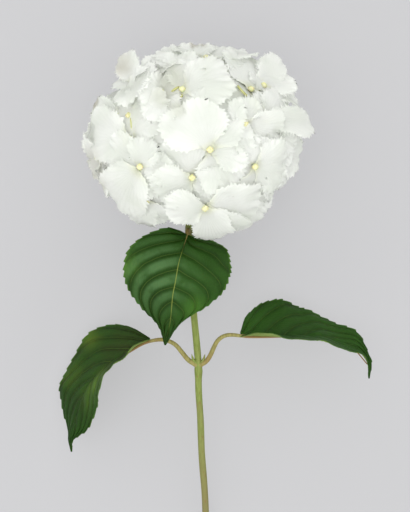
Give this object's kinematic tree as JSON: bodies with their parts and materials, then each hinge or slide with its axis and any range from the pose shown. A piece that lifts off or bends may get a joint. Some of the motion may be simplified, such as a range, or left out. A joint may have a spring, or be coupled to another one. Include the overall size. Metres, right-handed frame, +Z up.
{
  "type": "cut hydrangea",
  "caption": "Cut mophead flower on a leafy stem, lying on its back: a round head of fringed four-petalled florets and toothed oval leaves.",
  "frame": {"origin": "flat spot of the lowest petal, under the head, where the head rests on the surface", "axes": "+Z up from the surface, +Y along the stem towards the head, +X to the right seen from above"},
  "size_m": [0.2413, 0.4386, 0.1411],
  "materials": {
    "petals": "matte",
    "stalks": "satin",
    "stem": "satin",
    "leaves": "satin"
  },
  "bodies": {
    "root": {"stem": "stem", "flower_stalks": "stalks", "florets": "petals", "leaf_front": "leaves", "leaf_back": "leaves", "leaf_left": "leaves", "leaf_right": "leaves"}
  },
  "joints": []
}
